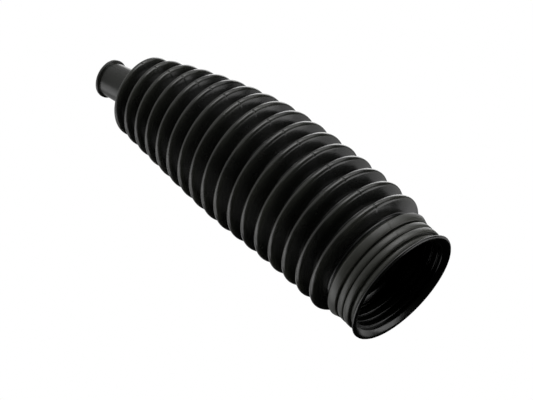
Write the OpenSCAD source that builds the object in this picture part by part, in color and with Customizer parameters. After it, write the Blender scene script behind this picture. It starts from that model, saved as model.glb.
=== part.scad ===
// Steering rack boot: one rubber bellows, moulded in one piece, that keeps dirt and water out of the
// inner joint of a tie rod. It stands on its wide mouth, centred on the origin, with the mouth's axis
// along +Z. The relaxed rubber is slightly bowed, so its folds follow an arc that leans towards -X and
// ends in the narrow neck. Sizes are in millimetres and degrees.

/* [Bellows] */
// Number of folds
fold_count = 17; // [8:1:22]
// Distance from one fold to the next, along the axis
fold_pitch = 9; // [8:0.25:12]
// Outer diameter over the crest of the fold next to the neck
neck_fold_d = 41.5; // [36:0.5:50]
// Outer diameter over the crest of the widest fold
wide_fold_d = 63.6; // [62:0.2:76]
// Outer diameter over the crest of the fold next to the mouth
mouth_fold_d = 61; // [58:0.5:62]
// How far up the row of folds the widest one stands, as a share of the row
wide_place = 0.45; // [0.3:0.05:0.7]
// Depth of the groove between two folds near the neck
neck_depth = 5; // [4:0.25:6.5]
// Depth of the groove between two folds near the mouth
mouth_depth = 6.6; // [5:0.2:8]
// Outer rounding of a crest
crest_round = 1.8; // [1.6:0.1:2.2]
// Outer rounding at the bottom of a groove
groove_round = 1.2; // [0.8:0.1:1.4]
// Thickness of the rubber in the folds
wall = 1.3; // [1:0.1:1.5]
// Angle through which the relaxed boot is bowed, from the mouth to the neck
bow = 13.5; // [2:0.5:30]

/* [Mouth] */
// Bore that is clamped on the rack housing, measured over its sealing ribs
mouth_bore = 47; // [45:0.5:49]
// Thickness of the rubber under the clamp seat's two ribs
seat_wall = 2.3; // [2:0.1:3.2]
// Width of each rib on the clamp seat
seat_rib = 2.4; // [1.8:0.1:3.2]
// Width of each groove beside the ribs
seat_groove = 1.1; // [0.6:0.1:1.4]
// Depth of each groove beside the ribs
seat_groove_depth = 0.5; // [0.3:0.05:0.6]
// How far the lip at the rim stands proud of the clamp seat
lip_rise = 1.3; // [0.8:0.1:2.5]
// Height of the lip at the rim
lip_h = 3.6; // [2.5:0.1:5]
// Width of the deep groove between the upper rib and the shoulder
stop_groove = 1.2; // [0.8:0.1:2]
// Depth of that groove, measured from the clamp seat
stop_groove_depth = 1; // [0.6:0.1:1.2]
// How far the shoulder that stops the clamp stands proud of its seat
shoulder_rise = 1; // [0.6:0.1:2]
// Height of the shoulder
shoulder_h = 4.6; // [4:0.1:7]
// Depth of the fine groove round the shoulder, beside its upper edge
shoulder_line = 0.3; // [0.1:0.05:0.4]
// Height from the shoulder's upper edge to the bottom of the first groove
shoulder_gap = 2.4; // [2.2:0.1:5]
// Height of the chamfer that guides the housing into the bore
lead_in = 1.6; // [0.8:0.1:2]
// Distance between the sealing ribs in the bore
seal_pitch = 3.3; // [2.8:0.1:3.6]
// Width of the land on each sealing rib
seal_land = 1.9; // [1.2:0.1:2]
// How far each sealing rib stands proud of the wall between
seal_rise = 0.35; // [0.2:0.05:0.4]

/* [Neck] */
// Bore that grips the tie rod
neck_bore = 14.6; // [12:0.2:17]
// Thickness of the rubber round the neck
neck_wall = 2; // [1.6:0.1:3]
// Length of the neck, up from the middle of its rounding into the shoulder
neck_h = 16.1; // [12:0.1:26]
// How far the flange at the free end stands proud of the neck
neck_flange = 0.45; // [0.3:0.05:1.4]
// Thickness of that flange
flange_h = 1.1; // [0.8:0.1:2]
// Rounding where the neck runs out into the shoulder
neck_round = 3; // [2:0.25:4]
// Height of that rounding's middle over the crest of the fold next to the neck
neck_rise = 9.3; // [7.5:0.3:13]
// Half the width of the fine bead on the neck's shoulder
fine_bead = 0.45; // [0.3:0.05:0.7]

/* [Hidden] */
$fn = 96;
rubber = [0.1, 0.1, 0.1];
// Longest step of a rounded stretch, and the angle that a groove's rounding leaves to its flanks
arc_step = 0.7;
meeting = 18;
// How deep an end that meets a neighbour is buried in it, and how far a cutter runs past a face
buried = 1.1;
over = 1;

// Number of sealing ribs, and the height from the chamfer's upper edge to the lowest one's land
seal_count = 3;
seal_start = 2;
// Levels of the mouth's collar, from the rim up
rib_low = lip_h + seat_groove;
rib_high = rib_low + seat_rib + seat_groove;
shoulder_low = rib_high + seat_rib + stop_groove;
shoulder_top = shoulder_low + shoulder_h;
bellows_low = shoulder_top + shoulder_gap;
// Radii of the collar
mouth_r = mouth_bore / 2;
seat_r = mouth_r + seat_wall;
lip_r = seat_r + lip_rise;
shoulder_r = seat_r + shoulder_rise;
groove_bed = seat_r - seat_groove_depth;
stop_bed = seat_r - stop_groove_depth;
// How much wider than the mouth's bore the bottom of the first groove is, in radius
first_groove_rise = 0.4;
// Rounding of the rim, and the angle from point to point along the lip's hollow flare
rim_round = 0.5;
flare_step = 18;
// The shoulder's upper edge is drawn in a little, and rounded
edge_round = 0.4;
edge_draw = 0.7;
// Rounding of the neck flange's edges
flange_round = 0.2;
// Rounding of the shoulder's edge towards the clamp
nose_round = 0.6;
// Outer radius of the neck
neck_r = neck_bore / 2 + neck_wall;
// Radius of the arc that the bowed folds follow
bow_r = fold_count * fold_pitch / (bow * PI / 180);

// Outer radius of fold i, counted up from the mouth
function crest_r(i) =
    let (place = i / (fold_count - 1))
    place < wide_place
        ? wide_fold_d / 2 - (wide_fold_d - mouth_fold_d) / 2 * (1 - place / wide_place)
        : wide_fold_d / 2
            - (wide_fold_d - neck_fold_d) / 2 * pow((place - wide_place) / (1 - wide_place), 1.5);

// Outer radius at the bottom of groove i, which lies below fold i
function groove_r(i) =
    i == 0
        ? mouth_r + first_groove_rise
        : (crest_r(i - 1) + crest_r(i)) / 2
            - mouth_depth + (mouth_depth - neck_depth) * i / (fold_count - 1);

// Angle between a flank and the plane across the axis, for a flank that touches two roundings whose
// centres lie dr apart in radius and dz apart in height, one on each side of it
function flank_tilt(dr, dz, rounds) = atan2(dz, dr) - asin(rounds / norm([dr, dz]));
function fold_tilt(i, groove) =
    flank_tilt(crest_r(i) - crest_round - groove_r(groove) - groove_round, fold_pitch / 2,
               crest_round + groove_round);
function collar_tilt() =
    flank_tilt(shoulder_r - edge_draw - edge_round - groove_r(0) - groove_round, shoulder_gap + edge_round,
               edge_round + groove_round);
function neck_tilt(inset, neck_inset) =
    flank_tilt(crest_r(fold_count - 1) - crest_round - neck_r - neck_round, neck_rise,
               crest_round - inset + neck_round + neck_inset);

// Points along an arc, with as many steps as its length needs
function arc(centre, r, from, to) =
    let (steps = max(2, ceil(abs(to - from) * PI / 180 * r / arc_step)))
    [for (j = [0:steps]) let (a = from + (to - from) * j / steps) centre + r * [cos(a), sin(a)]];

// Where a flank that leaves point p at a tilt reaches a given height from p, towards the axis
function down_flank(p, tilt, rise) = [max(over, p[0] - abs(rise) / tan(tilt)), p[1] + rise];

// Turns an outline's outer points into a solid round the axis
module turned(points) {
    rotate_extrude()
        polygon(concat([[0, points[0][1]]], points, [[0, points[len(points) - 1][1]]]));
}

// Carries a piece to its height along the bowed axis, measured from the first groove
module along(h) {
    translate([-bow_r, 0, bellows_low])
        rotate([0, -h / (bow_r * PI / 180), 0])
            translate([bow_r, 0, 0])
                children();
}

// One fold as a full turned body. An inset makes the hollow that lies that far inside its skin.
module fold(i, inset) {
    centre = [crest_r(i) - crest_round, 0];
    low = fold_tilt(i, i);
    high = fold_tilt(i, i + 1);
    crest = arc(centre, crest_round - inset, low - 90, 90 - high);
    reach = fold_pitch / 2 + buried;
    first = crest[0];
    last = crest[len(crest) - 1];
    turned(concat([down_flank(first, low, -reach - first[1])], crest,
                  [down_flank(last, high, reach - last[1])]));
}

// The rounded bottom of groove i, between a flank of one tilt below and one of another above
module groove(i, inset, low, high) {
    r = groove_round + inset;
    to_low = 90 - low - meeting;
    to_high = 90 - high - meeting;
    bottom = arc([groove_r(i) + groove_round, 0], r, 180 + to_low, 180 - to_high);
    reach = r * tan(meeting / 2) + buried;
    turned(concat([bottom[0] + reach * [sin(to_low), -cos(to_low)]], bottom,
                  [bottom[len(bottom) - 1] + reach * [sin(to_high), cos(to_high)]]));
}

// All the folds but the one next to the neck, and the groove below each fold
module bellows(inset) {
    for (i = [0:fold_count - 2])
        along((i + 0.5) * fold_pitch) fold(i, inset);
    for (i = [0:fold_count - 1])
        along(i * fold_pitch)
            groove(i, inset, i == 0 ? collar_tilt() : fold_tilt(i - 1, i), fold_tilt(i, i));
}

// The collar's upper end, which rounds the shoulder's edge and runs down into the first groove
function collar_end(inset) =
    let (r = shoulder_r - edge_draw,
         tilt = collar_tilt(),
         centre = [r - edge_round, shoulder_top - edge_round],
         skin = centre + (edge_round - inset) * [sin(tilt), cos(tilt)],
         edge = inset > edge_round
             ? [[r - inset, skin[1] + (skin[0] - r + inset) * tan(tilt)]]
             : arc(centre, edge_round - inset, 0, 90 - tilt),
         last = edge[len(edge) - 1])
    concat(edge, [down_flank(last, tilt, bellows_low + buried - last[1])]);

// The mouth's collar: a flared lip, a ribbed seat for the clamp, and the shoulder with its fine groove
module collar() {
    flare = [for (a = [0:flare_step:90])
        [lip_r - (lip_r - groove_bed) * sin(a), lip_h - (lip_h - 2 * rim_round) * cos(a)]];
    ribs = [for (z = [rib_low, rib_high])
        each [[groove_bed, z], [seat_r, z + seat_groove_depth],
              [seat_r, z + seat_rib - seat_groove_depth], [groove_bed, z + seat_rib]]];
    stop = [[stop_bed, rib_high + seat_rib + groove_bed - stop_bed], [stop_bed, shoulder_low]];
    line_r = shoulder_r - edge_draw;
    line_top = shoulder_top - 2 * edge_round;
    line = [[shoulder_r, line_top - 2 * shoulder_line], [line_r - shoulder_line, line_top - shoulder_line],
            [line_r, line_top]];
    turned(concat(arc([lip_r - rim_round, rim_round], rim_round, -90, 0), flare, ribs,
                  stop, arc([shoulder_r - nose_round, shoulder_low + nose_round], nose_round, -90, 0), line,
                  collar_end(0)));
}

// The opening through the collar: a lead-in, the bore's sealing ribs, and the wider space above them
module mouth_opening() {
    open_r = mouth_r + seal_rise;
    seals = [for (k = [0:seal_count - 1])
        let (low = lead_in + seal_start + k * seal_pitch, high = low + seal_land)
        each [[open_r, low - seal_rise], [mouth_r, low], [mouth_r, high], [open_r, high + seal_rise]]];
    turned(concat([[open_r + lead_in + over, -over], [open_r, lead_in]], seals,
                  [[shoulder_r - edge_draw - wall, shoulder_low + 2 * wall]], collar_end(wall)));
}

// The fold next to the neck, its shoulder with a fine bead, and the neck with the flange at its end
module neck_end() {
    last_fold = fold_count - 1;
    low = fold_tilt(last_fold, last_fold);
    tilt = neck_tilt(0, 0);
    crest = arc([crest_r(last_fold) - crest_round, 0], crest_round, low - 90, 90 - tilt);
    foot = arc([neck_r + neck_round, neck_rise], neck_round, 270 - tilt, 180);
    middle = (crest[len(crest) - 1] + foot[0]) / 2;
    top = neck_rise + neck_h;
    edge_r = neck_r + neck_flange - flange_round;
    flange = concat([[neck_r, top - flange_h]],
                    arc([edge_r, top - flange_h + flange_round], flange_round, -90, 0),
                    arc([edge_r, top - flange_round], flange_round, 0, 90));
    turned(concat([down_flank(crest[0], low, -fold_pitch / 2 - buried - crest[0][1])], crest,
                  arc(middle, fine_bead, -tilt, 180 - tilt), foot, flange));
}

// The hollow of that end and the bore through the neck
module neck_opening() {
    last_fold = fold_count - 1;
    low = fold_tilt(last_fold, last_fold);
    tilt = neck_tilt(wall, neck_wall);
    crest = arc([crest_r(last_fold) - crest_round, 0], crest_round - wall, low - 90, 90 - tilt);
    foot = arc([neck_r + neck_round, neck_rise], neck_round + neck_wall, 270 - tilt, 180);
    turned(concat([down_flank(crest[0], low, -fold_pitch / 2 - buried - crest[0][1])], crest, foot,
                  [[neck_bore / 2, neck_rise + neck_h + over]]));
}

module boot() {
    color(rubber)
        difference() {
            union() {
                collar();
                bellows(0);
                along((fold_count - 0.5) * fold_pitch) neck_end();
            }
            mouth_opening();
            bellows(wall);
            along((fold_count - 0.5) * fold_pitch) neck_opening();
        }
}

boot();
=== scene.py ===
# %% [markdown]
# # A steering rack boot
# This script dresses a rubber steering rack boot, the bellows that keeps water and dirt away from the
# inner joint of a tie rod. The boot is one moulded piece: a ribbed collar at its wide mouth, a row of
# folds, and a narrow neck at the other end. It stands on its mouth, and the relaxed rubber bows a
# little to one side. The cells below build its fine skin, the black rubber, the stage, the lamps and
# the camera. They are run from the top down, because each one uses what those above it have made.

# %% [markdown]
# ## The solid model
# The boot was first built as a plain solid, to its real size. It is loaded before anything else, so
# that the skin can be laid over it. One could also start from an empty scene, but then nothing would
# hold the skin to the size of the part.

# %% The solid model
import math
import bpy
from mathutils import Matrix, Vector


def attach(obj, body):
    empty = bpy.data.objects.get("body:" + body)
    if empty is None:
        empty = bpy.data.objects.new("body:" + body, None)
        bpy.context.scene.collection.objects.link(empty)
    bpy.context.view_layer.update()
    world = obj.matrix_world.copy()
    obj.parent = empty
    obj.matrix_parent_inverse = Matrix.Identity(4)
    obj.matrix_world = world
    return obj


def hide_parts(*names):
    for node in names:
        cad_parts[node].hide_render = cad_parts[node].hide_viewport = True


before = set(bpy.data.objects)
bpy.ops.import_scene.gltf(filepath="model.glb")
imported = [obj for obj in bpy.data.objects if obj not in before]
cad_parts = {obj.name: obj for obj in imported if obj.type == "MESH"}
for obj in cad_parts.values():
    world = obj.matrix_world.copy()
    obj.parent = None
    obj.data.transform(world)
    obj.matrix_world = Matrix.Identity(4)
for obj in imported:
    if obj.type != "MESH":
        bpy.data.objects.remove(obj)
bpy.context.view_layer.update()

# %% [markdown]
# ## The heights
# Along its axis the boot is a pile of short stretches: the lip at the rim, the ribs for the clamp, a
# groove, the shoulder, the folds and the neck. Each could have a height of its own above the rim.
# Here each one stands on the stretch below it instead, so a rib that changes carries with it all that
# is above. The lengths are in millimetres, because that is how such a part is measured.

# %% Heights of the collar
LIP_H = 3.6
SEAT_RIBS = 2
SEAT_RIB = 2.4
SEAT_GROOVE = 1.1
STOP_GROOVE = 1.2
SHOULDER_H = 4.6
SHOULDER_LOW = LIP_H + SEAT_RIBS * (SEAT_GROOVE + SEAT_RIB) + STOP_GROOVE
SHOULDER_TOP = SHOULDER_LOW + SHOULDER_H
print("the collar is", round(SHOULDER_TOP, 1), "mm high")

# %% Heights of the bellows and the neck
FOLDS = 17
PITCH = 9.0
FIRST_RISE = 2.4
NECK_RISE = 9.3
NECK_H = 16.1
BELLOWS_LOW = SHOULDER_TOP + FIRST_RISE
LAST_FOLD = BELLOWS_LOW + (FOLDS - 0.5) * PITCH
TIP = LAST_FOLD + NECK_RISE + NECK_H
print("length along the axis:", round(TIP, 1), "mm")

# %% [markdown]
# ## Arcs
# Moulds are cut with round tools, so the outline of a moulded part is made of arcs and of straight
# lines that touch them. It could be drawn as a curve with handles, but handles don't know a radius.
# Points on true arcs do, and the straight lines then cost nothing: one appears by itself between the
# end of an arc and the start of the next. Arcs that stay hidden get fewer points.

# %% Arcs
ARC_STEP = 0.3
HIDDEN_STEP = 0.8
FEWEST_ON_ARC = 3


def arc(centre, radius, start, stop, step=ARC_STEP):
    """Points on an arc, with start and stop in degrees, measured from straight outwards."""
    turn = math.radians(stop - start)
    steps = max(FEWEST_ON_ARC, math.ceil(abs(turn) * radius / step))
    angles = [math.radians(start) + turn * k / steps for k in range(steps + 1)]
    return [(centre[0] + radius * math.cos(a), centre[1] + radius * math.sin(a)) for a in angles]


print("points on a quarter of a 10 mm circle:", len(arc((0, 0), 10, 0, 90)))

# %% [markdown]
# ## The width of the folds
# From the mouth the crests of the bellows widen a little, up to a widest fold near the middle, and
# from there they taper towards the neck, faster and faster. The grooves between them get shallower
# on the way. Every fold could be typed in, but one rule for the crests and one for the grooves keep
# the swell smooth, as it is in a mould.

# %% Radii of the crests and the grooves
MOUTH_FOLD_R = 30.5
WIDE_FOLD_R = 31.8
NECK_FOLD_R = 20.75
WIDE_PLACE = 0.45
TAPER = 1.5
FIRST_GROOVE_R = 23.9
MOUTH_DEPTH = 6.6
NECK_DEPTH = 5.0


def crest_r(i):
    """Outer radius of fold i, counted up from the mouth."""
    place = i / (FOLDS - 1)
    if place < WIDE_PLACE:
        return WIDE_FOLD_R - (WIDE_FOLD_R - MOUTH_FOLD_R) * (1 - place / WIDE_PLACE)
    past = (place - WIDE_PLACE) / (1 - WIDE_PLACE)
    return WIDE_FOLD_R - (WIDE_FOLD_R - NECK_FOLD_R) * past ** TAPER


def groove_r(i):
    """Outer radius at the bottom of groove i, which lies below fold i."""
    if i == 0:
        return FIRST_GROOVE_R
    depth = MOUTH_DEPTH - (MOUTH_DEPTH - NECK_DEPTH) * i / (FOLDS - 1)
    return (crest_r(i - 1) + crest_r(i)) / 2 - depth


print("radii of the crests:", [round(crest_r(i), 1) for i in range(FOLDS)], "mm")

# %% [markdown]
# ## The flanks
# Between the round of a crest and the round of a groove the rubber is straight. A flank could be
# given an angle of its own, but then it would meet the rounds with a small kink, and the kink would
# show as a line in the gloss. So its lean is worked out from the two circles that it touches, on
# opposite sides, and it stays true when a size changes.

# %% Lean of the flanks
CREST_ROUND = 1.8
GROOVE_ROUND = 1.2


def tilt(rise, height, rounds):
    """How far a flank leans, in degrees, where it touches two circles on its opposite sides."""
    return math.degrees(math.atan2(height, rise) - math.asin(rounds / math.hypot(rise, height)))


def fold_tilt(i, groove):
    """Lean of the flank between fold i and one of the two grooves beside it."""
    rise = crest_r(i) - CREST_ROUND - groove_r(groove) - GROOVE_ROUND
    return tilt(rise, PITCH / 2, CREST_ROUND + GROOVE_ROUND)


print("flanks lean", round(fold_tilt(0, 0)), "to", round(fold_tilt(FOLDS - 1, FOLDS - 1)), "degrees")

# %% [markdown]
# ## The two ends of the bellows
# At its wide end the bellows starts from the edge of the collar's shoulder. At its narrow end the
# last fold runs into the neck as a cone. Both places could be blended by eye, but each is a straight
# line between two arcs, like a flank, and the same rule gives its lean.

# %% Lean of the two ends
SHOULDER_EDGE_R = 26.1
EDGE_ROUND = 0.4
SHOULDER_CENTRE = (SHOULDER_EDGE_R - EDGE_ROUND, SHOULDER_TOP - EDGE_ROUND)
SHOULDER_TILT = tilt(SHOULDER_CENTRE[0] - groove_r(0) - GROOVE_ROUND, BELLOWS_LOW - SHOULDER_CENTRE[1],
                     EDGE_ROUND + GROOVE_ROUND)
NECK_R = 9.3
NECK_ROUND = 3.0
NECK_CENTRE = (NECK_R + NECK_ROUND, LAST_FOLD + NECK_RISE)


def neck_tilt(inset, neck_inset):
    """Lean of the cone between the last fold and the neck, at some depth under the skin."""
    rise = crest_r(FOLDS - 1) - CREST_ROUND - NECK_CENTRE[0]
    return tilt(rise, NECK_RISE, CREST_ROUND - inset + NECK_ROUND + neck_inset)


print("the shoulder leans", round(SHOULDER_TILT), "degrees, the cone at the neck", round(neck_tilt(0, 0)))

# %% [markdown]
# ## The skin of the bellows
# The folds are a sheet of rubber of one thickness. A Solidify modifier could thicken a single skin,
# but it moves points and knows nothing of arcs, so tight rounds come out uneven. Here both sides are
# drawn with true arcs: inside a crest the arc is smaller by the thickness of the wall, and inside a
# groove it is larger by as much, so one function draws the outside and the inside.

# %% Outline of the folds
WALL = 1.3
BORE_R = 7.3


def folds(inset, end_tilt):
    """The folds from the first groove to the last crest, at a depth of inset under the skin."""
    step = HIDDEN_STEP if inset else ARC_STEP
    points = []
    for i in range(FOLDS):
        below = SHOULDER_TILT if i == 0 else fold_tilt(i - 1, i)
        low = fold_tilt(i, i)
        high = fold_tilt(i, i + 1) if i < FOLDS - 1 else end_tilt
        bottom = (groove_r(i) + GROOVE_ROUND, BELLOWS_LOW + i * PITCH)
        top = (crest_r(i) - CREST_ROUND, BELLOWS_LOW + (i + 0.5) * PITCH)
        points += arc(bottom, GROOVE_ROUND + inset, 270 - below, 90 + low, step)
        points += arc(top, CREST_ROUND - inset, low - 90, 90 - high, step)
    return points


outer_folds = folds(0, neck_tilt(0, 0))
inner_folds = folds(WALL, neck_tilt(WALL, NECK_R - BORE_R))
print("points on the folds, outside and inside:", len(outer_folds), len(inner_folds))

# %% [markdown]
# ## Rounded corners
# The ribs of the collar are easiest to give as corners. A Bevel modifier could round them on the
# mesh, but here the outline is still a row of points, so a helper sets an arc in each corner. The
# middle of the arc lies on the line that halves the angle of the corner, at some inset from both
# legs. The radius is one millimetre for every arc, because slerp gives directions of length 1. That
# is more than the insets, so each arc reaches past the legs of its corner by the radius less the
# inset: the ribs come out fuller and softer than their corners say, and their feet lie deeper.

# %% Rounded corners
FEWEST_ON_CORNER = 2
CORNER_R = 1.0


def rounded(corners):
    """An outline past corners given as (radius, height, inset of the arc). The ends stay sharp."""
    points = [corners[0][:2]]
    for before, corner, after in zip(corners, corners[1:], corners[2:]):
        here = Vector(corner[:2])
        back = (Vector(before[:2]) - here).normalized()
        on = (Vector(after[:2]) - here).normalized()
        half = back.angle(on) / 2
        centre = here + (back + on).normalized() * corner[2] / math.sin(half)
        start = here + back * corner[2] / math.tan(half) - centre
        stop = here + on * corner[2] / math.tan(half) - centre
        steps = max(FEWEST_ON_CORNER, math.ceil(start.angle(stop) * corner[2] / ARC_STEP))
        for k in range(steps + 1):
            points.append(tuple(centre + start.slerp(stop, k / steps) * CORNER_R))
    return points + [corners[-1][:2]]


print("points on an outline with one rounded corner:", len(rounded([(0, 0, 0), (5, 0, 1), (5, 5, 0)])))

# %% [markdown]
# ## The lip
# The rim of the mouth ends in a lip. From its outer edge a hollow flare runs in to the seat of the
# clamp. A round could stand in for it, but the flare is higher than it is wide, so it is a quarter
# of an ellipse: one sine and one cosine, each with its own size.

# %% Outline of the lip
MOUTH_R = 23.5
SEAL_RISE = 0.35
OPEN_R = MOUTH_R + SEAL_RISE
LEAD_IN = 1.6
LIP_R = 27.1
SEAT_BED = 25.3
RIM_INSET = 0.5
FLARE_LOW = 2 * RIM_INSET
FLARE_STEP = 9


def lip():
    """The rim's end face and the flare, up to the seat of the clamp."""
    points = rounded([(OPEN_R + LEAD_IN, 0, 0), (LIP_R, 0, RIM_INSET), (LIP_R, FLARE_LOW, 0)])
    for degrees in range(FLARE_STEP, 90, FLARE_STEP):
        a = math.radians(degrees)
        points.append((LIP_R - (LIP_R - SEAT_BED) * math.sin(a), LIP_H - (LIP_H - FLARE_LOW) * math.cos(a)))
    return points


print("points on the lip:", len(lip()))

# %% [markdown]
# ## The seat of the clamp
# A clamp holds the boot on the housing of the rack. It presses on two flat ribs, and above them a
# deeper groove parts the seat from the shoulder. The ribs could be separate rings, but on the real
# boot they are one piece with the wall, so they are steps in the same outline.

# %% Outline of the seat
SEAT_R = 25.8
STOP_BED = 24.8
SEAT_DEPTH = SEAT_R - SEAT_BED
RIB_INSET = 0.25
FOOT_INSET = RIB_INSET / 2


def clamp_seat(end):
    """The ribs of the seat and the groove above them, up to a point at the shoulder."""
    corners = [(SEAT_BED, LIP_H, 0)]
    for k in range(SEAT_RIBS):
        low = LIP_H + SEAT_GROOVE + k * (SEAT_RIB + SEAT_GROOVE)
        high = low + SEAT_RIB
        corners += [(SEAT_BED, low, FOOT_INSET), (SEAT_R, low + SEAT_DEPTH / 2, RIB_INSET),
                    (SEAT_R, high - SEAT_DEPTH / 2, RIB_INSET), (SEAT_BED, high, FOOT_INSET)]
    corners += [(STOP_BED, high + SEAT_BED - STOP_BED, RIB_INSET), (STOP_BED, SHOULDER_LOW, RIB_INSET)]
    return rounded(corners + [end + (0,)])


print("the ribs reach a radius of", round(SEAT_R + CORNER_R - RIB_INSET, 2), "mm")

# %% [markdown]
# ## The shoulder
# The shoulder is the wide band between the clamp and the folds. Its lower edge is a round nose. Near
# its top it steps in, and the arcs at the step stand out as a fine ridge. Both could be left out at
# this size, but each draws a line round the boot, and on a black part the eye goes by such lines.

# %% Outline of the shoulder
SHOULDER_R = 26.8
NOSE = 0.6
FINE_LINE = 0.3
LINE_INSET = FINE_LINE / 3
LINE_TOP = SHOULDER_TOP - 2 * EDGE_ROUND

nose = arc((SHOULDER_R - NOSE, SHOULDER_LOW + NOSE), NOSE, -90, 0)
edge = arc(SHOULDER_CENTRE, EDGE_ROUND, 0, 90 - SHOULDER_TILT)
band = rounded([nose[-1] + (0,), (SHOULDER_R, LINE_TOP - 2 * FINE_LINE, LINE_INSET),
                (SHOULDER_EDGE_R - FINE_LINE, LINE_TOP - FINE_LINE, LINE_INSET),
                (SHOULDER_EDGE_R, LINE_TOP, LINE_INSET), edge[0] + (0,)])
collar = lip() + clamp_seat(nose[0]) + nose[1:-1] + band + edge[1:]
print("points on the collar:", len(collar))

# %% [markdown]
# ## The neck
# The neck grips the tie rod. A thin flange at its end keeps the clamp from slipping off, and a fine
# bead runs round the cone between the last fold and the neck. A tube with a ring at its end would
# look turned from metal: the soft rounds at the flange are what makes it rubber.

# %% Outline of the neck
FINE_BEAD = 0.45
FLANGE_R = 9.55
FLANGE_H = 1.1
FLANGE_LOW = TIP - FLANGE_H
TIP_INSET = 0.5


def halfway(one, other):
    """The point in the middle between two points of the outline."""
    return ((one[0] + other[0]) / 2, (one[1] + other[1]) / 2)


cone = neck_tilt(0, 0)
foot = arc(NECK_CENTRE, NECK_ROUND, 270 - cone, 180)
bead = arc(halfway(outer_folds[-1], foot[0]), FINE_BEAD, -cone, 180 - cone)
flange = rounded([foot[-1] + (0,), (NECK_R, FLANGE_LOW - TIP_INSET, TIP_INSET),
                  (FLANGE_R, FLANGE_LOW, TIP_INSET), (FLANGE_R, TIP, TIP_INSET),
                  (BORE_R + TIP_INSET, TIP, 0)])
neck = bead + foot + flange[1:]
print("points on the neck:", len(neck))

# %% [markdown]
# ## The inside
# Inside the mouth three low ribs seal against the housing of the rack, and behind them the wall
# follows the folds up to the bore of the neck. A boot that is only looked at could be closed with a
# lid, but the photograph looks right into the mouth, where the ribs glint. So the inside is drawn
# too, with its points in reverse order, from the neck down to the rim.

# %% Outline of the inside
SEALS = 3
SEAL_START = 2.0
SEAL_PITCH = 3.3
SEAL_LAND = 1.9
SEAL_INSET = 0.5
ROOM_R = SHOULDER_EDGE_R - WALL
ROOM_LOW = SHOULDER_LOW + 2 * WALL


def room_corner():
    """Where the wall behind the shoulder meets the room above the sealing ribs."""
    lean = math.radians(SHOULDER_TILT)
    skin_r = SHOULDER_CENTRE[0] - (WALL - EDGE_ROUND) * math.sin(lean)
    skin_height = SHOULDER_CENTRE[1] - (WALL - EDGE_ROUND) * math.cos(lean)
    return (ROOM_R, skin_height + (skin_r - ROOM_R) * math.tan(lean))


def sealing_ribs():
    """Corners of the ribs in the mouth, from the innermost down to the rim."""
    corners = []
    for k in reversed(range(SEALS)):
        low = LEAD_IN + SEAL_START + k * SEAL_PITCH
        high = low + SEAL_LAND
        corners += [(OPEN_R, high + SEAL_RISE, SEAL_INSET), (MOUTH_R, high, SEAL_INSET),
                    (MOUTH_R, low, SEAL_INSET), (OPEN_R, low - SEAL_RISE, SEAL_INSET)]
    return corners + [(OPEN_R, LEAD_IN, LEAD_IN / 2), (OPEN_R + LEAD_IN, 0, 0)]


neck_wall = NECK_R - BORE_R
bore = [(BORE_R, TIP - TIP_INSET)]
bore += arc(NECK_CENTRE, neck_wall + NECK_ROUND, 180, 270 - neck_tilt(WALL, neck_wall), HIDDEN_STEP)
mouth = rounded([inner_folds[0] + (0,), room_corner() + (RIM_INSET / 2,), (ROOM_R, ROOM_LOW, RIM_INSET)]
                + sealing_ribs())
inside = bore + inner_folds[::-1] + mouth[1:-1]
outside = collar + outer_folds + neck
outline = outside + inside
print("points round the outline:", len(outline), "of them inside:", len(inside))

# %% [markdown]
# ## Columns round the boot
# The outline is turned round the axis, which gives one column of points for each step of the turn. A
# Screw modifier would space the steps evenly. Here the columns stand closer together on two opposite
# sides, where the halves of the mould met, because a fine ridge has to rise between them.

# %% Columns round the boot
COLUMNS = 108
SEAM = math.radians(-63)
BESIDE_SEAM = [math.radians(a) for a in (0.5, 1.0, 1.5)]

angles = [SEAM + 2 * math.pi * k / COLUMNS for k in range(COLUMNS)]
for half in (SEAM, SEAM + math.pi):
    angles += [half + side * offset for offset in BESIDE_SEAM for side in (-1, 1)]
angles = sorted(a % (2 * math.pi) for a in angles)
print("columns:", len(angles))

# %% [markdown]
# ## The bow
# Out of the mould the rubber relaxes, and the axis of the folds bows into a wide arc. A Simple Deform
# modifier could bend a straight boot, but its limits are shares of the whole height, and would have
# to be worked out again for each change. Here each point is set in its bowed place at once: the
# collar stays straight up to the first groove, the folds follow the arc, and from the last fold on
# the axis is straight again. This step also turns the millimetres into Blender's metres.

# %% The bow
MM = 0.001
BOW = math.radians(13.5)
BOW_R = FOLDS * PITCH / BOW


def bowed(r, height, angle):
    """The place of a point of the outline, in metres, once the axis bows towards -X."""
    along = min(max(height - BELLOWS_LOW, 0), LAST_FOLD - BELLOWS_LOW)
    turn = along / BOW_R
    beyond = height - BELLOWS_LOW - along
    out = BOW_R + r * math.cos(angle)
    return Vector((out * math.cos(turn) - beyond * math.sin(turn) - BOW_R, r * math.sin(angle),
                   BELLOWS_LOW + out * math.sin(turn) + beyond * math.cos(turn))) * MM


print("the middle of the neck's end is at", [round(value, 4) for value in bowed(0, TIP, 0)], "m")

# %% [markdown]
# ## The parting line
# Where the two halves of a mould meet, a little rubber creeps between them. It leaves a fine ridge
# along the boot, and a nick where the ridge is trimmed across each crest. A bump texture could paint
# such a line, but the outline of the boot would stay smooth there. So the skin itself rises by about
# a tenth of a millimetre. How near a point is to a crest decides between ridge and nick.

# %% How near a crest
def crest_share(r, height):
    """0 at the bottom of a groove, 1 on a crest, for a point on the outside of the folds."""
    place = (height - BELLOWS_LOW) / PITCH
    if not 0 <= place <= FOLDS:
        return 0.0
    fold = min(int(place), FOLDS - 1)
    bottom = groove_r(min(round(place), FOLDS - 1))
    return min(max((r - bottom) / (crest_r(fold) - bottom), 0.0), 1.0)


shares = [crest_share(r, height) for r, height in outside] + [0.0] * len(inside)
print("share in the grooves and on the crests:", min(shares), round(max(shares), 2))

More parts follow.
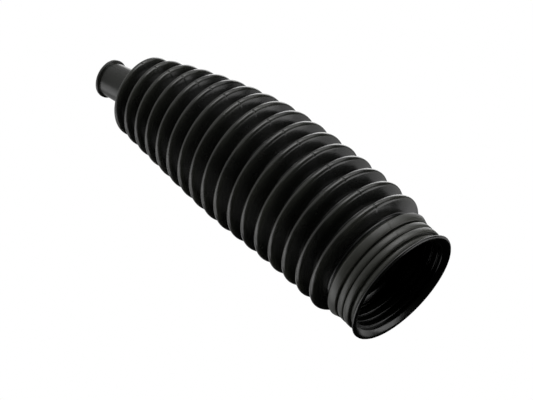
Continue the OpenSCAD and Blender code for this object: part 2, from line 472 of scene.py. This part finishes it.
# %% The parting line
RIDGE_FOOT = BESIDE_SEAM[1]
RIDGE_HEIGHT = 0.12
NICK_DEPTH = 0.4
NICK_SHARE = 0.8


def seam_lift(angle, share):
    """How far the parting line lifts the skin: a fine ridge, with a nick across each crest."""
    off = abs(math.remainder(angle - SEAM, math.pi))
    near = max(0.0, 1 - off / RIDGE_FOOT)
    nick = max(0.0, share - NICK_SHARE) / (1 - NICK_SHARE)
    return near * (RIDGE_HEIGHT * (1 - nick) - NICK_DEPTH * nick)


print("on the line the skin rises by", seam_lift(SEAM, 0), "mm in a groove and", seam_lift(SEAM, 1),
      "mm on a crest")

# %% [markdown]
# ## The skin as a mesh
# The boot is one piece of rubber, so its skin is one closed mesh. Four neighbouring points make a
# face, and the last column joins the first. It could be built from separate collar, bellows and neck,
# but then there would be gaps or doubled walls where they meet. Two values go along with each point
# for the material to read: how near it is to a crest, and how matte the rubber is there. The collar
# and the neck are more matte than the folds.

# %% The values at the points
NECK_MATTE = 0.4

matte_share = [float(height > FLARE_LOW) for r, height in collar]
matte_share += [0.0] * len(outer_folds) + [NECK_MATTE] * len(neck) + [0.0] * len(inside)
print("points of the outline with matte rubber:", sum(value > 0 for value in matte_share))


# %% The moulded skin
def moulded_skin():
    """Turns the outline into one closed mesh, and notes where its crests and its matte skin are."""
    mesh = bpy.data.meshes.new("moulded_boot")
    places = []
    for angle in angles:
        for k, (r, height) in enumerate(outline):
            seamed = k < len(outside) and height > RIM_INSET
            lift = seam_lift(angle, shares[k]) if seamed else 0.0
            places.append(bowed(r + lift, height, angle))
    faces = []
    rows = len(outline)
    for column in range(len(angles)):
        here = column * rows
        beside = (column + 1) % len(angles) * rows
        for k in range(rows):
            up = (k + 1) % rows
            faces.append((here + k, beside + k, beside + up, here + up))
    mesh.from_pydata(places, [], faces)
    mesh.shade_smooth()
    for name, values in (("crest", shares), ("matte", matte_share)):
        mesh.attributes.new(name, "FLOAT", "POINT").data.foreach_set("value", values * len(angles))
    return mesh


skin = bpy.data.objects.new("moulded_boot", moulded_skin())
bpy.context.scene.collection.objects.link(skin)
print("faces of the skin:", len(skin.data.polygons), "triangles:", 2 * len(skin.data.polygons))

# %% [markdown]
# ## The skin in the model
# The skin takes the place of the plain solid, which stays for collisions alone. Nothing on the boot
# moves by itself, so the skin rides on the root.

# %% The skin in the model
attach(skin, "root")
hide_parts("boot")
print(skin.name, "stands for the solid named boot")

# %% [markdown]
# ## Black rubber: an empty material
# Moulded rubber is nearly black, with a satin skin that is never even: the gloss varies in soft
# patches, a fine grain breaks up the highlights, and a grey bloom of wax shows on the crests. Pictures
# of rubber could be wrapped round the boot, but nodes need no pictures and stay sharp from near by.
# A new material comes with nodes of its own. They are cleared, so that every node is one made here.

# %% An empty material
def emptied(block):
    """Clears the nodes of a material or a world, and gives its node tree."""
    block.use_nodes = True
    block.node_tree.nodes.clear()
    return block.node_tree


black_rubber = bpy.data.materials.new("black_rubber")
rubber = emptied(black_rubber)
print(black_rubber.name, "has", len(rubber.nodes), "nodes")

# %% [markdown]
# ## Black rubber: three sizes of noise
# Real rubber is uneven at several sizes at once: patches of some centimetres where it was touched,
# mottling of some millimetres, and grain. One noise texture with much detail mixes them all, and
# none can be set alone. So there are three textures, in object space, where a metre is a metre.

# %% Three sizes of noise
PATCHES = {"size": 0.030, "detail": 3.0}
MOTTLE = {"size": 0.004, "detail": 4.0}
GRAIN = {"size": 0.0004, "detail": 2.0}


def noise(tree, place, size, detail):
    """A noise texture whose blotches are about size metres across."""
    node = tree.nodes.new("ShaderNodeTexNoise")
    node.inputs["Scale"].default_value = 1 / size
    node.inputs["Detail"].default_value = detail
    tree.links.new(place, node.inputs["Vector"])
    return node.outputs["Fac"]


rubber_place = rubber.nodes.new("ShaderNodeTexCoord").outputs["Object"]
patches = noise(rubber, rubber_place, **PATCHES)
mottle = noise(rubber, rubber_place, **MOTTLE)
grain = noise(rubber, rubber_place, **GRAIN)
print("noise of", [round(kind["size"] / MM, 1) for kind in (PATCHES, MOTTLE, GRAIN)], "mm")

# %% [markdown]
# ## Black rubber: values into shares
# Noise gives numbers near the middle between 0 and 1, and the mesh gives how near a crest is. Before
# they can steer a colour they are spread over a range and put together. A Color Ramp could do the
# spreading, but a Map Range says in plain numbers where it starts and stops.

# %% Helpers that work on values
def ranged(tree, value, low, high, start=0.0, stop=1.0, blend="LINEAR"):
    """Spreads a value from low to high as the input goes from start to stop."""
    node = tree.nodes.new("ShaderNodeMapRange")
    node.interpolation_type = blend
    for name, number in (("From Min", start), ("From Max", stop), ("To Min", low), ("To Max", high)):
        node.inputs[name].default_value = number
    tree.links.new(value, node.inputs["Value"])
    return node.outputs["Result"]


def joined(tree, operation, first, second):
    """One value from two: their sum, their product, or the larger one."""
    node = tree.nodes.new("ShaderNodeMath")
    node.operation = operation
    tree.links.new(first, node.inputs[0])
    tree.links.new(second, node.inputs[1])
    return node.outputs[0]


def from_mesh(tree, name):
    """A value that goes along with the points of the mesh."""
    node = tree.nodes.new("ShaderNodeAttribute")
    node.attribute_name = name
    return node.outputs["Fac"]


crest = from_mesh(rubber, "crest")
matte = from_mesh(rubber, "matte")
marks = [node.attribute_name for node in rubber.nodes if node.type == "ATTRIBUTE"]
print("values read from the mesh:", marks)

# %% [markdown]
# ## Black rubber: the colour
# The rubber is darkest on the flanks. The bloom shows on the crests, where hands and boxes rub them,
# more in some patches than in others, and all over the matte collar. The bloom could be painted by
# hand, but a share worked out from the shape lands on every crest by itself. The larger share of the
# two, rubbed crest or matte skin, mixes black with the colour of the bloom.

# %% The colour
BLACK = (0.0025, 0.0028, 0.0025, 1)
BLOOM = (0.022, 0.023, 0.018, 1)
RUBBED_PATCHES = {"low": 0.2, "high": 1.0, "start": 0.35, "stop": 0.65}
RUBBED_CRESTS = {"low": 0.15, "high": 0.8, "start": 0.6, "stop": 1.0}

rubbed = joined(rubber, "MULTIPLY", ranged(rubber, patches, **RUBBED_PATCHES),
                ranged(rubber, crest, **RUBBED_CRESTS))
colour = rubber.nodes.new("ShaderNodeMix")
colour.data_type = "RGBA"
colour.inputs["A"].default_value = BLACK
colour.inputs["B"].default_value = BLOOM
rubber.links.new(joined(rubber, "MAXIMUM", rubbed, matte), colour.inputs["Factor"])
print("black", BLACK[:3], "blooms towards", BLOOM[:3])

# %% [markdown]
# ## Black rubber: the gloss
# A satin skin has a roughness of about a quarter, and it wavers with the mottling. Where the mould
# was rougher, at the collar and the neck, the roughness goes up. One number all over would be
# quicker, but then every highlight would be as clean as on lacquer.

# %% The gloss
SATIN = {"low": 0.20, "high": 0.28, "start": 0.3, "stop": 0.7}
MATTE = 0.16

roughness = joined(rubber, "ADD", ranged(rubber, mottle, **SATIN), ranged(rubber, matte, 0.0, MATTE))
print("roughness from", SATIN["low"], "to", round(SATIN["high"] + MATTE, 2))

# %% [markdown]
# ## Black rubber: mottle and grain
# The mottling and the grain are also felt: they are hills of some hundredths of a millimetre. As
# geometry they would need millions of faces, so they are bumps, which only tilt the shading. A bump
# takes the one under it as its starting point, and both depths are true lengths in metres.

# %% The mottle and the grain
MOTTLE_DEPTH = 0.00005
GRAIN_DEPTH = 0.00001


def bumped(tree, height, depth, under=None):
    """A bump of some depth in metres, on top of another one."""
    node = tree.nodes.new("ShaderNodeBump")
    node.inputs["Distance"].default_value = depth
    tree.links.new(height, node.inputs["Height"])
    if under:
        tree.links.new(under, node.inputs["Normal"])
    return node.outputs["Normal"]


bumps = bumped(rubber, grain, GRAIN_DEPTH, bumped(rubber, mottle, MOTTLE_DEPTH))
print("bumps of", round(MOTTLE_DEPTH / MM, 3), "and", round(GRAIN_DEPTH / MM, 3), "mm")

# %% [markdown]
# ## Black rubber: the shader
# The Principled shader puts colour, gloss and bumps together. A Diffuse and a Glossy shader could be
# mixed by hand, but this one already knows how the gloss of rubber grows towards its edges.

# %% The shader
def shown(tree, output, shader):
    """Sends a shader to the output node of a material or a world."""
    node = tree.nodes.new(output)
    tree.links.new(shader, node.inputs["Surface"])


moulded = rubber.nodes.new("ShaderNodeBsdfPrincipled")
rubber.links.new(colour.outputs["Result"], moulded.inputs["Base Color"])
rubber.links.new(roughness, moulded.inputs["Roughness"])
rubber.links.new(bumps, moulded.inputs["Normal"])
shown(rubber, "ShaderNodeOutputMaterial", moulded.outputs["BSDF"])
skin.data.materials.append(black_rubber)
print(black_rubber.name, "has", len(rubber.nodes), "nodes")

# %% [markdown]
# ## The floor
# The boot stands on a plain pale floor. The photograph looks up into the mouth, from below the level
# on which the boot stands, so a plain plane would hide it. The floor could be left out of that one
# view, but a floor that shows only its upper side works in every view: from below it is clear. It is
# clear for shadow rays as well, which lets the light of the low lamps through.

# %% The floor's material
FLOOR_PALE = (0.82, 0.82, 0.82, 1)


def mixed(tree, share, first, second):
    """Two shaders as one: the first at a share of 0, the second at 1."""
    node = tree.nodes.new("ShaderNodeMixShader")
    tree.links.new(share, node.inputs["Fac"])
    tree.links.new(first, node.inputs[1])
    tree.links.new(second, node.inputs[2])
    return node.outputs[0]


pale_floor = bpy.data.materials.new("pale_floor")
paint = emptied(pale_floor)
pale = paint.nodes.new("ShaderNodeBsdfDiffuse")
pale.inputs["Color"].default_value = FLOOR_PALE
clear = paint.nodes.new("ShaderNodeBsdfTransparent")
below = paint.nodes.new("ShaderNodeNewGeometry").outputs["Backfacing"]
shadow_ray = paint.nodes.new("ShaderNodeLightPath").outputs["Is Shadow Ray"]
one_sided = mixed(paint, joined(paint, "MAXIMUM", below, shadow_ray), pale.outputs[0], clear.outputs[0])
shown(paint, "ShaderNodeOutputMaterial", one_sided)
print(pale_floor.name, "has", len(paint.nodes), "nodes")

# %% [markdown]
# ## The floor, laid
# Satin rubber mirrors what is round it, and a pale floor would turn every flank that faces down grey.
# In the photograph those flanks stay black. So the floor is kept out of the reflections, while it
# still takes the shadow of the boot.

# %% The floor
FLOOR_SIZE = 3.0

bpy.ops.mesh.primitive_plane_add(size=FLOOR_SIZE)
floor = bpy.context.object
floor.name = "floor"
floor.data.materials.append(pale_floor)
floor.visible_glossy = False
print("floor of", FLOOR_SIZE, "m")

# %% [markdown]
# ## The light all round
# Behind the boot the world is white, but only for the camera. A white world would also light the
# rubber from all sides, and make it grey. On the boot there shines a soft sky instead: bright above,
# and fading out towards the level of the floor, so that it gives the upper sides their sheen and
# leaves the flanks that face down in the dark.

# %% The light all round
WHITE = (1, 1, 1, 1)
SKY = {"low": 0.0, "high": 0.56, "start": 0.1, "stop": 0.6}

studio = bpy.data.worlds.new("studio")
air = emptied(studio)
camera_ray = air.nodes.new("ShaderNodeLightPath").outputs["Is Camera Ray"]
direction = air.nodes.new("ShaderNodeSeparateXYZ")
air.links.new(air.nodes.new("ShaderNodeTexCoord").outputs["Generated"], direction.inputs[0])
sky = air.nodes.new("ShaderNodeBackground")
sky.inputs["Color"].default_value = WHITE
air.links.new(ranged(air, direction.outputs["Z"], blend="SMOOTHSTEP", **SKY), sky.inputs["Strength"])
backdrop = air.nodes.new("ShaderNodeBackground")
backdrop.inputs["Color"].default_value = WHITE
shown(air, "ShaderNodeOutputWorld", mixed(air, camera_ray, sky.outputs[0], backdrop.outputs[0]))
bpy.context.scene.world = studio
print("the sky's strength overhead is", SKY["high"])

# %% [markdown]
# ## The lamps
# A black part on white shows by its highlights. Each stands where the skin mirrors a lamp towards the
# camera, so every lamp is placed for the highlight that it makes: the key and the one at the right
# draw the long lines on the crests, the two at the left the lines on the other side, a weak one in
# front fills in the collar, the high one behind gives the shine at the neck, and the two low ones the
# glints in the mouth. A single lamp would leave most folds unseen. The lamps are large, because a
# large lamp gives a highlight with soft edges.

# %% Lamps
# Places and sizes of the lamps are in metres
BOOT_MIDDLE = Vector((-0.008, 0, 0.095))
LAMP_DISTANCE = 0.9
LAMP_SIZE = 0.6
# For each lamp its direction from the middle of the boot, and its power in watts
LAMPS = {
    "key": ((0.70, -0.62, 0.32), 3.5),
    "right": ((0.94, -0.28, 0.10), 1.3),
    "left_rim": ((-0.96, 0.25, -0.05), 1.5),
    "high_left": ((-0.92, -0.05, 0.36), 1.6),
    "front": ((0.22, -0.96, 0.16), 0.4),
    "high_back": ((0.60, 0.55, 0.58), 2.4),
    "low_right": ((0.64, 0.12, -0.76), 2.4),
    "back_right": ((0.63, 0.70, -0.34), 0.7),
}


def soft_lamp(name, direction, watts):
    """A square lamp in some direction from the middle of the boot, facing it."""
    light = bpy.data.lights.new(name, "AREA")
    light.energy = watts
    light.size = LAMP_SIZE
    lamp = bpy.data.objects.new(name, light)
    lamp.location = BOOT_MIDDLE + LAMP_DISTANCE * Vector(direction).normalized()
    lamp.rotation_euler = (BOOT_MIDDLE - lamp.location).to_track_quat("-Z", "Y").to_euler()
    lamp.visible_camera = False
    bpy.context.scene.collection.objects.link(lamp)


for lamp_name, (lamp_direction, lamp_watts) in LAMPS.items():
    soft_lamp(lamp_name, lamp_direction, lamp_watts)

# %% [markdown]
# ## The camera
# The photograph was taken from in front of the mouth, close enough for the near end to look larger.
# The boot stands upright here, so the camera is low and rolled to its side, and sees it lying
# slantwise. The boot could be tipped instead, but then it would no longer stand on the floor in the
# other views. The camera is built from three directions: forward, right, and up.

# %% Camera
CAMERA_PLACE = Vector((-43.3, -386.6, -150.7)) * MM
CAMERA_AIM = Vector((-11.7, 9.4, 81.2)) * MM
PICTURE_UP = Vector((0.693, -0.405, 0.597))
PICTURE_WIDTH = 533
FOCAL_PIXELS = 1000
FILM_WIDTH = 36


def picture_camera():
    """The camera of the photograph, aimed at the boot and rolled until PICTURE_UP points up."""
    lens = bpy.data.cameras.new("camera")
    lens.sensor_width = FILM_WIDTH
    lens.lens = FILM_WIDTH * FOCAL_PIXELS / PICTURE_WIDTH
    forward = (CAMERA_AIM - CAMERA_PLACE).normalized()
    right = forward.cross(PICTURE_UP).normalized()
    up = right.cross(forward)
    turned = Matrix((right, up, -forward)).transposed().to_4x4()
    camera = bpy.data.objects.new("camera", lens)
    camera.matrix_world = Matrix.Translation(CAMERA_PLACE) @ turned
    bpy.context.scene.collection.objects.link(camera)
    return camera


bpy.context.scene.camera = picture_camera()
bpy.context.scene.view_settings.view_transform = "Standard"
print("focal length:", round(bpy.context.scene.camera.data.lens, 1), "mm")
